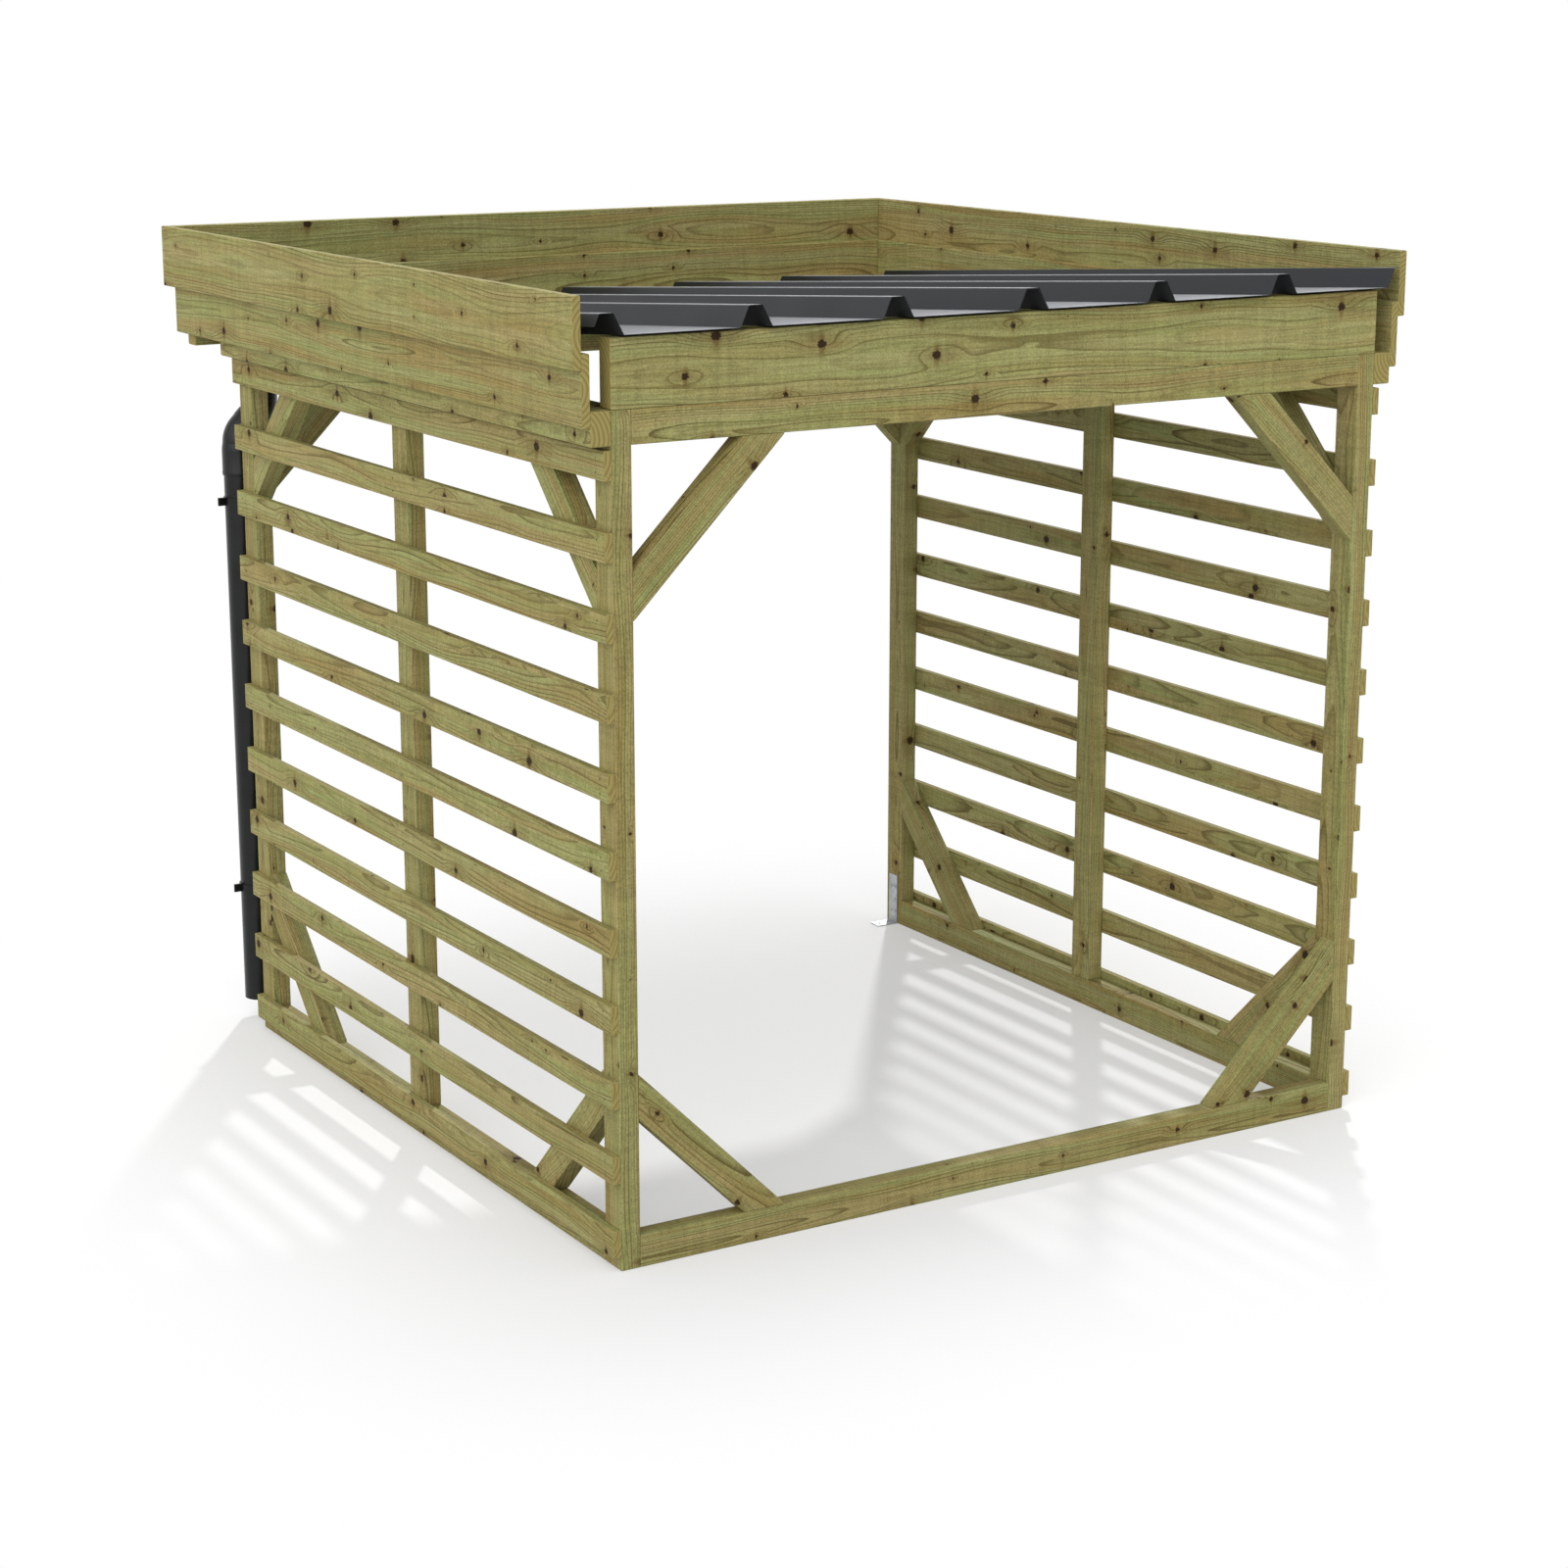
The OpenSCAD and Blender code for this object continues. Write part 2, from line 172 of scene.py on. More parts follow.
# %% [markdown]
# ### How far from the pith
# A ring is a distance from the pith. The pith wanders by a few centimetres along the tree, which draws the
# arches on wide faces, and the rings ripple by a few millimetres.

# %% Distance from the pith
WANDER = 0.055      # metres from side to side, at most
RIPPLE = 0.0035     # metres in and out, at most
HALFWAY = (0.5, 0.5, 0.5)

bend = add(log, "VectorMath", {0: noise["wander"].outputs["Color"]}, {1: HALFWAY}, operation="SUBTRACT")
bend = add(log, "VectorMath", {0: bend}, {1: (0.0, WANDER, WANDER)}, operation="MULTIPLY")
off_pith = add(log, "VectorMath", {0: given["Board"], 1: given["Pith"]}, operation="SUBTRACT")
off_pith = add(log, "VectorMath", {0: off_pith, 1: bend}, operation="ADD")
off_pith = add(log, "VectorMath", {0: off_pith}, {1: (0.0, 1.0, 1.0)}, operation="MULTIPLY")
radius = add(log, "VectorMath", {0: off_pith}, operation="LENGTH")
ripple = add(log, "MapRange", {"Value": noise["ripple"]}, {"To Min": -RIPPLE, "To Max": RIPPLE})
radius = add(log, "Math", {0: radius, 1: ripple}, operation="ADD")
print("pith and rings:", len(log.nodes), "nodes so far")

# %% [markdown]
# ### Knots
# A branch that comes straight out of a face shows as a round knot. Branches that run right through the wood
# would cross the narrow faces as long dark bars, so each face has a flat grid of its own instead: in X and
# Z where it faces Y, and else in X and Y. Each field of the grid holds one branch, thick or hardly there.
# Round a knot the grain bends in a collar, and resin darkens the wood in a smear that runs across the
# board.

# %% Knots
KNOT_FIELD = (0.27, 0.085, 1.0)     # metres along and across the tree; the third number has no use
# A field draws a lot from 0 to 1, which gives its knot's radius in metres. A low lot gives hardly a knot.
KNOT_SIZES = {"From Min": 0.3, "From Max": 1.0, "To Min": 0.0035, "To Max": 0.0115}
KNOT_LEAST = 0.00005    # metres, so that no radius is nothing
KNOT_UNEVEN = 0.005     # metres that grit moves a knot's edge, at most
KNOT_CORE = 0.7         # share of the radius that is quite dark
# A number below 1 makes a shape longer, along the tree or across it.
SQUASH = {"knot": (0.85, 1.0, 0.0), "collar": (0.32, 1.0, 0.0), "smear": (1.3, 0.36, 0.0)}
SPREAD = {"collar": (3.2, 1.0), "smear": (1.5, 0.8)}    # times the knot's radius, and strength

rise = add(log, "Mix", {"Factor": given["Faces Y"], "A": axes.outputs["Y"], "B": axes.outputs["Z"]})
flat = add(log, "CombineXYZ", {"X": axes.outputs["X"], "Y": rise})
grid = add(log, "VectorMath", {0: flat}, {1: KNOT_FIELD}, operation="DIVIDE")
branch = add(log, "TexVoronoi", {"Vector": grid}, {"Scale": 1.0, "Randomness": 0.9}, voronoi_dimensions="2D")
gap = add(log, "VectorMath", {0: grid, 1: branch.outputs["Position"]}, operation="SUBTRACT")
gap = add(log, "VectorMath", {0: gap}, {1: KNOT_FIELD}, operation="MULTIPLY")

reach = {}
for name, squash in SQUASH.items():
    squashed = add(log, "VectorMath", {0: gap}, {1: squash}, operation="MULTIPLY")
    reach[name] = add(log, "VectorMath", {0: squashed}, operation="LENGTH")
uneven = add(log, "MapRange", {"Value": noise["grit"]}, {"To Min": -KNOT_UNEVEN, "To Max": KNOT_UNEVEN})
edge = add(log, "Math", {0: reach["knot"], 1: uneven}, operation="ADD")

lot = add(log, "SeparateColor", {0: branch.outputs["Color"]})
knot_r = add(log, "MapRange", {"Value": lot.outputs["Red"]}, KNOT_SIZES, clamp=False)
knot_r = add(log, "Math", {0: knot_r}, {1: KNOT_LEAST}, operation="MAXIMUM")
core = add(log, "Math", {0: knot_r}, {1: KNOT_CORE}, operation="MULTIPLY")
knot = add(log, "MapRange", {"Value": edge, "From Min": core, "From Max": knot_r},
           {"To Min": 1.0, "To Max": 0.0})
around = {}
for name, (times, strength) in SPREAD.items():
    outer = add(log, "Math", {0: knot_r}, {1: times}, operation="MULTIPLY")
    around[name] = add(log, "MapRange", {"Value": reach[name], "From Max": outer},
                       {"From Min": 0.0, "To Min": strength, "To Max": 0.0}, interpolation_type="SMOOTHSTEP")
print("knots:", len(log.nodes), "nodes so far")

# %% [markdown]
# ### Rings
# In each ring pale spring wood darkens slowly into a summer line and then stops short. Some years are
# stronger than others, so each ring draws a lot of its own. A knot's collar counts as extra rings, which
# bends the lines round it.

# %% Rings
RING = 0.0050           # growth ring of quick-grown pine, 5 mm
COLLAR_RINGS = 2.4      # extra rings at the middle of a knot
YEAR = [(0.0, 0.1), (0.06, 0.0), (0.62, 0.12), (0.9, 1.0), (0.97, 1.0), (1.0, 0.1)]
WEAKEST_YEAR = 0.15     # as a share of the strongest

turn = add(log, "Math", {0: radius}, {1: RING}, operation="DIVIDE")
turn = add(log, "Math", {0: around["collar"], 2: turn}, {1: COLLAR_RINGS}, operation="MULTIPLY_ADD")
season = add(log, "Math", {0: turn}, operation="FRACT")
summer = add(log, "ValToRGB", {0: season}, stops=YEAR)
year = add(log, "Math", {0: turn}, operation="FLOOR")
year = add(log, "Math", {0: year, 1: given["Seed"]}, operation="ADD")
luck = add(log, "TexWhiteNoise", {"W": year}, noise_dimensions="1D")
luck = add(log, "MapRange", {"Value": luck}, {"To Min": WEAKEST_YEAR, "To Max": 1.0})
summer = add(log, "Math", {0: summer, 1: luck}, operation="MULTIPLY")
print("rings:", len(log.nodes), "nodes so far")

# %% [markdown]
# ### Colour
# The preservative soaks in more in some years' wood than in others, so its green patches follow the rings
# and the rest stays brown. Paler streaks, summer lines, fibres and the wood round a knot lie over that as
# layers. Planer bars and grit then lighten or darken it all a little. A sawn end shows its rings, drawn
# twice as wide as they are so that they still show, and the knots come last.

# %% Colour of the pine
SOAK_ALONG = 1.3        # patches to a metre along the tree, about 770 mm long
SOAK_OUT = 62.0         # patches to a metre outwards, about three rings wide
FACTOR, UNDER, OVER = 0, 6, 7    # the Mix node's sockets for two colours
MIXED = 2                        # and its output for a colour
GREEN = {"From Min": 0.36, "From Max": 0.64}                  # where the preservative soaked in
PALE = {"From Min": 0.35, "From Max": 0.7, "To Max": 0.5}     # strength of the pale streaks
THREAD = {"From Min": 0.42, "From Max": 0.72, "To Max": 0.6}  # strength of the dark fibres
LINE = 0.92             # strength of a summer line
COLLAR_DARK = 0.4       # strength of the collar round a knot, to which the smear is added
HALO_MOST = 0.75        # the two together go no further
PLANER_SHARE = 0.35     # of the planer's bars, beside the grit
SHADE = {"From Min": 0.45, "From Max": 0.9, "To Min": 0.75, "To Max": 1.22}    # darkest to lightest
SAWN_END = [(0.0, "#A0955B"), (0.45, "#9A8E55"), (0.8, "#857340"), (1.0, "#8D7D48")]

soak = add(log, "Math", {0: axes.outputs["X"]}, {1: SOAK_ALONG}, operation="MULTIPLY")
depth = add(log, "Math", {0: radius}, {1: SOAK_OUT}, operation="MULTIPLY")
soak = add(log, "CombineXYZ", {"X": soak, "Y": depth, "Z": given["Seed"]})
soak = add(log, "TexNoise", {"Vector": soak}, {"Scale": 1.0, "Detail": 2.0})
soak = add(log, "MapRange", {"Value": soak}, GREEN)
streak = add(log, "MapRange", {"Value": noise["streak"]}, PALE)
line = add(log, "Math", {0: summer}, {1: LINE}, operation="MULTIPLY")
thread = add(log, "MapRange", {"Value": noise["fibre"]}, THREAD)
halo = add(log, "Math", {0: around["collar"], 2: around["smear"]}, {1: COLLAR_DARK}, operation="MULTIPLY_ADD")
halo = add(log, "Math", {0: halo}, {1: HALO_MOST}, operation="MINIMUM")

brown, green = linear("#9B8952"), linear("#959A5E")
colour = add(log, "Mix", {FACTOR: soak}, {UNDER: brown, OVER: green}, data_type="RGBA")
for layer, hex_code in ((streak, "#AFA575"), (line, "#584A21"), (thread, "#706537"), (halo, "#6B5528")):
    colour = add(log, "Mix", {FACTOR: layer, UNDER: colour}, {OVER: linear(hex_code)}, data_type="RGBA")

shade = add(log, "Math", {0: noise["planer"], 2: noise["grit"]}, {1: PLANER_SHARE}, operation="MULTIPLY_ADD")
shade = add(log, "MapRange", {"Value": shade}, SHADE)
colour = add(log, "Mix", {UNDER: colour, OVER: shade}, {FACTOR: 1.0}, data_type="RGBA", blend_type="MULTIPLY")
wide_turn = add(log, "Math", {0: radius}, {1: 2 * RING}, operation="DIVIDE")
wide_turn = add(log, "Math", {0: wide_turn}, operation="FRACT")
sawn = add(log, "ValToRGB", {0: wide_turn}, stops=SAWN_END)
colour = add(log, "Mix", {FACTOR: given["End"], UNDER: colour, OVER: sawn}, data_type="RGBA")
colour = add(log, "Mix", {FACTOR: knot, UNDER: colour}, {OVER: linear("#2F1E0B")}, data_type="RGBA")
print("colour:", len(log.nodes), "nodes so far")

# %% [markdown]
# ### Relief and shine
# Summer wood is harder and stands proud of the planed face, and fibres leave fine furrows. Open fibres
# scatter light, so the wood is matt, and a little more so along some fibres.

# %% Relief and roughness of the pine
FURROWS = 0.8           # depth of the fibres' furrows against the height of a summer line
MATT = {"To Min": 0.6, "To Max": 0.85}

relief = add(log, "Math", {0: noise["fibre"], 2: summer}, {1: FURROWS}, operation="MULTIPLY_ADD")
rough = add(log, "MapRange", {"Value": noise["fibre"]}, MATT)
made = {"Colour": colour.outputs[MIXED], "Roughness": rough.outputs[0], "Height": relief.outputs[0]}
result = log.nodes.new("NodeGroupOutput").inputs
for name, source in made.items():
    log.links.new(source, result[name])
print("pine recipe:", len(log.nodes), "nodes")

# %% [markdown]
# ## One tree for each board
# No two boards come from the same place in a tree. Each timber gets a pine of its own, with its middle, the
# way its grain runs and the place of its pith. The grain always runs along the timber: across the front
# (X), to the back (Y), upwards (Z) or along the slope of a brace. The slats of a side share one node, so
# the height of a slat is folded into one board by wrapping, and each slat takes its seed from its own
# island of faces. Faces that look along the grain are sawn ends.

# %% Pine for a board
SQUARE = math.radians(90)
SLANT = math.radians(45)
GRAIN = {
    "x": (0, 0, 0),
    "y": (0, 0, SQUARE),
    "z": (-SQUARE, -SQUARE, 0),
    "x_up": (0, -SLANT, 0),
    "x_down": (0, SLANT, 0),
    "y_up": (0, -SLANT, SQUARE),
    "y_down": (0, SLANT, SQUARE),
}
PITH_BESIDE = (0.022, 0.07)    # metres from the board's middle, to one side or the other
PITH_ABOVE = (-0.03, 0.03)     # metres below or above it
BOARD_SEED = 1.37       # from one timber's seed to the next
SLAT_SEEDS = 40.0       # the slats' seeds lie between nought and this
RELIEF = 0.0006         # metres
END_FACE = {"From Min": 0.6, "From Max": 0.85}    # how squarely a sawn end looks along the grain
FACES_Y = 0.7           # and from where on a face counts as looking along Y


def middle(name):
    """The middle of a CAD node's box."""
    low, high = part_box(name)
    return (low + high) / 2


def planed_treated_pine(node_name, grain, number, pitch=None, first=None):
    """The pine of one timber. A set of boards gives its pitch and the middle height of its first board."""
    dice = random.Random(number)
    pith = (0, dice.choice((-1, 1)) * dice.uniform(*PITH_BESIDE), dice.uniform(*PITH_ABOVE))
    material, tree = new_material("planed_treated_pine." + node_name)
    centre = middle(node_name)
    if pitch:
        centre.z = first
    spot = add(tree, "TexCoord")
    board = add(tree, "Mapping", {"Vector": spot.outputs["Object"]},
                {"Location": centre, "Rotation": GRAIN[grain]}, vector_type="TEXTURE")
    surface = add(tree, "NewGeometry")
    facing = []
    for axis in ((1, 0, 0), (0, 1, 0)):
        way = Euler(GRAIN[grain]).to_matrix() @ Vector(axis)
        dot = add(tree, "VectorMath", {0: surface.outputs["Normal"]}, {1: way}, operation="DOT_PRODUCT")
        facing.append(add(tree, "Math", {0: dot}, operation="ABSOLUTE"))
    end = add(tree, "MapRange", {"Value": facing[0]}, END_FACE)
    faces_y = add(tree, "Math", {0: facing[1]}, {1: FACES_Y}, operation="GREATER_THAN")
    links = {"Board": board, "End": end, "Faces Y": faces_y}
    if pitch:
        parts = add(tree, "SeparateXYZ", {0: board}).outputs
        fold = add(tree, "Math", {0: parts["Z"]}, {1: pitch / 2, 2: -pitch / 2}, operation="WRAP")
        links["Board"] = add(tree, "CombineXYZ", {"X": parts["X"], "Y": parts["Y"], "Z": fold})
        island = surface.outputs["Random Per Island"]
        links["Seed"] = add(tree, "Math", {0: island}, {1: SLAT_SEEDS}, operation="MULTIPLY")
    pine = add(tree, "Group", links, {"Pith": pith, "Seed": number * BOARD_SEED}, node_tree=log)
    bump = add(tree, "Bump", {"Height": pine.outputs["Height"]}, {"Strength": 0.35, "Distance": RELIEF})
    # Wood has an IOR near 1.5. Its open fibres break up most of the shine, so the specular level is low.
    shader = add(tree, "BsdfPrincipled", {"Base Color": pine.outputs["Colour"],
                                          "Roughness": pine.outputs["Roughness"], "Normal": bump},
                 {"IOR": 1.5, "Specular IOR Level": 0.2})
    add(tree, "OutputMaterial", {0: shader})
    return material


print("grain directions:", sorted(GRAIN))

# %% [markdown]
# ## Eased edges
# A planer takes the sharp corner off each timber, about 2.5 mm here and less on the thin slats. A bevel
# modifier does the same to the CAD solid without changing its mesh. Light then catches every edge, which is
# what makes a box read as wood.

# %% Which way each timber's grain runs
timbers = {}
for name in nodes:
    side = name.split("_")[0]
    if name.endswith(("_post", "_stud")):
        timbers[name] = "z"
    elif name.endswith("_brace"):
        at, level = name.split("_")[1:3]
        rises = (at in ("right", "rear")) == (level == "lower")
        timbers[name] = ("x" if side in ("front", "rear") else "y") + ("_up" if rises else "_down")
    elif name.endswith(("_sill", "_plate", "_beam", "_purlin", "_slats", "_fascia")):
        timbers[name] = "y" if side in ("left", "right") else "x"
print("timbers:", len(timbers))

# %% Dress the timbers
SLATS = 11              # on each side
SLAT_H = 0.060
EASED, SLAT_EASED = 0.0025, 0.0015    # metres taken off an edge
SAME_POINT = 0.00002    # corners closer than this, in metres, are one corner
slats_low, slats_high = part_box("left_slats")
slat_pitch = (slats_high.z - slats_low.z - SLAT_H) / (SLATS - 1)
slat_first = slats_low.z + SLAT_H / 2    # the middle of the lowest slat

for number, (name, grain) in enumerate(sorted(timbers.items())):
    slats = name.endswith("_slats")
    set_of_boards = (slat_pitch, slat_first) if slats else ()
    dress(name, planed_treated_pine(name, grain, number, *set_of_boards))
    weld = nodes[name].modifiers.new("joined corners", "WELD")
    weld.merge_threshold = SAME_POINT
    eased = nodes[name].modifiers.new("eased edges", "BEVEL")
    eased.width = SLAT_EASED if slats else EASED
    eased.segments = 2
    eased.limit_method = "ANGLE"
    eased.angle_limit = math.radians(35)
    eased.harden_normals = True
print("timbers dressed:", len(timbers), "slat pitch:", round(slat_pitch, 4))

# %% [markdown]
# ## Pieces made here
# The roof sheet, the trim of the rainwater pipes and the fixings are drawn as meshes. Each one rides on the
# frame's only body and names the record's material that it belongs to. Round things are turned from a
# profile, as on a lathe, and long things are drawn out along a line. Both are rows of points with a skin
# between them.

# %% Mesh helpers
def piece(name, mesh, material, soft=40):
    """Turn a bmesh into a riding piece. Edges sharper than soft degrees stay crisp."""
    bmesh.ops.recalc_face_normals(mesh, faces=mesh.faces)
    data = bpy.data.meshes.new(name)
    mesh.to_mesh(data)
    mesh.free()
    data.polygons.foreach_set("use_smooth", [True] * len(data.polygons))
    data.set_sharp_from_angle(angle=math.radians(soft))
    data.materials.append(material)
    thing = bpy.data.objects.new(name, data)
    bpy.context.collection.objects.link(thing)
    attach(thing, "root")
    print(name, "faces:", len(data.polygons))
    return thing


def skin(mesh, rows, ring=False):
    """Join rows of points. The last row of a ring joins its first, and other skins are capped."""
    count = len(rows[0])
    pairs = list(zip(rows, rows[1:]))
    if ring:
        pairs.append((rows[-1], rows[0]))
    for low, high in pairs:
        for i in range(count):
            j = (i + 1) % count
            mesh.faces.new((low[i], low[j], high[j], high[i]))
    if not ring:
        mesh.faces.new(list(reversed(rows[0])))
        mesh.faces.new(rows[-1])


def turned(mesh, centre, axis, profile, sides, ring=False):
    """Turn a profile of (radius, height) pairs about an axis. The profile of a ring closes on itself."""
    axis = Vector(axis).normalized()
    across = axis.orthogonal().normalized()
    beside = axis.cross(across)
    angles = [math.tau * i / sides for i in range(sides)]
    spokes = [across * math.cos(a) + beside * math.sin(a) for a in angles]
    rows = []
    for radius, height in profile:
        rows.append([mesh.verts.new(Vector(centre) + axis * height + spoke * radius) for spoke in spokes])
    skin(mesh, rows, ring)


def drawn_out(mesh, section, stations):
    """Join copies of a closed section along stations, each a function from section point to place."""
    skin(mesh, [[mesh.verts.new(station(point)) for point in section] for station in stations])


print("helpers: piece, skin, turned, drawn_out")

# %% [markdown]
# ## Coil-coated steel
# The roof sheet is thin steel, galvanised and painted anthracite as a coil before it is rolled into ribs.
# The paint is smooth and satin: dark when you look down on it, and pale where you look along it, because a
# smooth film mirrors the sky at a grazing angle. Slow waves in the flat pans, which rolling leaves, wobble
# that mirror image, and rain leaves faint streaks along the fall in a film of dust that pales the pans.

# %% Coated steel
RAIN_STREAKS = (34.0, 1.1, 1.1)    # to a metre: about 30 mm wide and 900 mm long
DUST_PATCHES = 6.0                 # to a metre: about 170 mm wide
PAN_WAVES = (9.0, 3.0, 3.0)        # to a metre: about 110 mm wide and 330 mm long
PAN_DEPTH = 0.004                  # metres

coated_steel, tree = new_material("coil_coated_steel_anthracite")
spot = add(tree, "TexCoord").outputs["Object"]
rain = add(tree, "VectorMath", {0: spot}, {1: RAIN_STREAKS}, operation="MULTIPLY")
rain = add(tree, "TexNoise", {"Vector": rain}, {"Scale": 1.0, "Detail": 3.0})
dust = add(tree, "TexNoise", {"Vector": spot}, {"Scale": DUST_PATCHES, "Detail": 4.0})
film = add(tree, "Math", {0: rain, 1: dust}, operation="MULTIPLY")
tone = add(tree, "ValToRGB", {0: film}, stops=[(0.12, "#0B0F13"), (0.42, "#161B20")])
gloss = add(tree, "MapRange", {"Value": film},
            {"From Min": 0.1, "From Max": 0.45, "To Min": 0.42, "To Max": 0.54})
waves = add(tree, "VectorMath", {0: spot}, {1: PAN_WAVES}, operation="MULTIPLY")
waves = add(tree, "TexNoise", {"Vector": waves}, {"Scale": 1.0, "Detail": 1.0})
wobble = add(tree, "Bump", {"Height": waves}, {"Strength": 0.25, "Distance": PAN_DEPTH})
# Sheen stands for the dust, which shows pale where you look along the sheet.
shader = add(tree, "BsdfPrincipled", {"Base Color": tone, "Roughness": gloss, "Normal": wobble},
             {"IOR": 1.4, "Sheen Weight": 1.0, "Sheen Roughness": 0.17, "Sheen Tint": linear("#DCE0E8")})
add(tree, "OutputMaterial", {0: shader})
print("coated steel:", len(tree.nodes), "nodes")

# %% [markdown]
# ## The back of the sheet
# The underside gets only a thin matt back coat. It has little shine and stays dark in the shade of the
# ribs, with faint clouds where the coat is thinner.

# %% Back coat
CLOUDS = 9.0    # to a metre: about 110 mm wide

back_coat, tree = new_material("coil_coated_steel_back_coat")
spot = add(tree, "TexCoord").outputs["Object"]
cloud = add(tree, "TexNoise", {"Vector": spot}, {"Scale": CLOUDS, "Detail": 4.0})
tone = add(tree, "ValToRGB", {0: cloud}, stops=[(0.3, "#191B1D"), (0.7, "#25282A")])
shader = add(tree, "BsdfPrincipled", {"Base Color": tone}, {"Roughness": 0.8, "IOR": 1.35})
add(tree, "OutputMaterial", {0: shader})
print("back coat:", len(tree.nodes), "nodes")

# %% [markdown]
# ## The ribbed roof
# A roll former bends the sheet round rollers, so each fold has a small radius and its edge shows as a thin
# pale line. The CAD solids have sharp folds; here the same section is drawn with 3 mm bends, on the same
# fall, and stands for them. The right sheet laps over the last rib of the left one.

# %% Sizes of the roof
SHEET = 0.0012          # metres thick, as in the CAD model
PITCH = 0.3333          # from rib to rib
RIB_H = 0.043
FOOT = 0.072            # width of a rib at the pan
CROWN = 0.030           # width of its flat top
RIBS = 3                # on each side of the middle one
SHIFT = 0.016           # the middle rib stands this far right of the middle
BEND = 0.003            # radius of a fold
SEAT_GAP = 0.0003       # air under the sheet, and in the lap
EAVES_GAP = 0.014       # from the sheet's lower end to the rear fascia beam
OVERHANG = 0.020        # of the sheet in front of the posts

front_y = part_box("front_left_post")[0].y
rear_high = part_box("rear_left_post")[1]
beam_low, beam_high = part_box("front_roof_beam")
eaves_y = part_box("rear_fascia_beam")[0].y - EAVES_GAP
fall = math.atan((beam_high.z - beam_low.z) / (rear_high.y - beam_high.y))
sheet_l = (eaves_y - front_y + OVERHANG) / math.cos(fall)
eaves = Vector((0, eaves_y, rear_high.z + SEAT_GAP - (eaves_y - rear_high.y) * math.tan(fall)))
edge_x = -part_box("left_roof_sheet")[0].x    # where the sheets stop, just inside the lower fascia
up_roof = Vector((0, -math.cos(fall), math.sin(fall)))
off_roof = Vector((0, math.sin(fall), math.cos(fall)))
print("fall:", round(math.degrees(fall), 3), "degrees, sheet:", round(sheet_l, 4), "m long")

# %% The section of a sheet
RUN = (FOOT - CROWN) / 2 / RIB_H    # how far a rib's side leans, for each metre up
ARC_STEPS = 4
ARC_MOST = 0.45    # share of a flat that one fold's arc may take


def rib_line(x, grow):
    """The four folds of a rib whose underside is moved outwards by grow."""
    foot = FOOT / 2 + grow * math.sqrt(1 + RUN * RUN)
    top = foot - (RIB_H + grow) * RUN
    return [(x - foot, 0.0), (x - top, RIB_H + grow), (x + top, RIB_H + grow), (x + foot, 0.0)]


def bent(line):
    """Round each inner corner of a line with a short arc, as a bending roller does."""
    out = [line[0]]
    for before, corner, after in zip(line, line[1:], line[2:]):
        back = before - corner
        on = after - corner
        shorter = min(back.length, on.length)
        reach = min(BEND / math.tan(back.angle(on) / 2), shorter * ARC_MOST)
        start = corner + back.normalized() * reach
        end = corner + on.normalized() * reach
        for step in range(ARC_STEPS + 1):
            t = step / ARC_STEPS
            out.append(start * (1 - t) ** 2 + corner * 2 * t * (1 - t) + end * t ** 2)
    return out + [line[-1]]


def trimmed(line, low, high):
    """The part of a line whose first coordinate lies between two limits."""
    out = [line[0]] if low <= line[0].x <= high else []
    for a, b in zip(line, line[1:]):
        for limit in (low, high):
            if a.x < limit < b.x:
                out.append(a.lerp(b, (limit - a.x) / (b.x - a.x)))
        if low <= b.x <= high:
            out.append(b)
    return out


print("a rib's folds:", [(round(x, 4), round(y, 4)) for x, y in rib_line(0.0, 0.0)])

# %% Roof sheets
LENGTHS = 12    # each sheet is drawn out in this many lengths
LOOKS_DOWN = -0.01    # faces that look off the roof by less than this get the back coat


def sheet(name, line, low, high):
    """A length of bent sheet on the fall of the roof, in place of its CAD solid."""
    under = trimmed(bent([Vector(point) for point in line]), low, high)
    over = []
    for i, point in enumerate(under):
        way = under[min(i + 1, len(under) - 1)] - under[max(i - 1, 0)]
        over.append(point + Vector((-way.y, way.x)).normalized() * SHEET)
    mesh = bmesh.new()
    places = [eaves + up_roof * sheet_l * i / LENGTHS for i in range(LENGTHS + 1)]
    stations = [lambda p, at=at: at + Vector((p.x, 0, 0)) + off_roof * p.y for at in places]
    drawn_out(mesh, under + over[::-1], stations)
    thing = piece(name, mesh, coated_steel, soft=30)
    thing.data.materials.append(back_coat)
    for face in thing.data.polygons:
        face.material_index = 1 if face.normal.dot(off_roof) < LOOKS_DOWN else 0
    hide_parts(name.replace("_bent", "_roof"))


left_line = [(-edge_x - PITCH, 0.0)]
for i in range(-RIBS, 1):
    left_line += rib_line(SHIFT + i * PITCH, 0.0)
sheet("left_bent_sheet", left_line, -edge_x, SHIFT + FOOT / 2)

lap = SHEET + SEAT_GAP
right_line = rib_line(SHIFT, lap)
right_line[0] = (right_line[0][0] + lap * RUN, lap)    # the lap's free edge ends just above the left pan
for i in range(1, RIBS + 1):
    right_line += rib_line(SHIFT + i * PITCH, 0.0)
sheet("right_bent_sheet", right_line, -edge_x, edge_x)

# %% [markdown]
# ## Galvanised steel
# Screws and angle brackets are steel dipped in zinc. Zinc freezes in flat crystals about a centimetre wide,
# the spangle, each with its own dull shine, and weathers to a soft grey.

# %% Galvanised steel
CRYSTALS = 90.0    # to a metre: about 11 mm wide

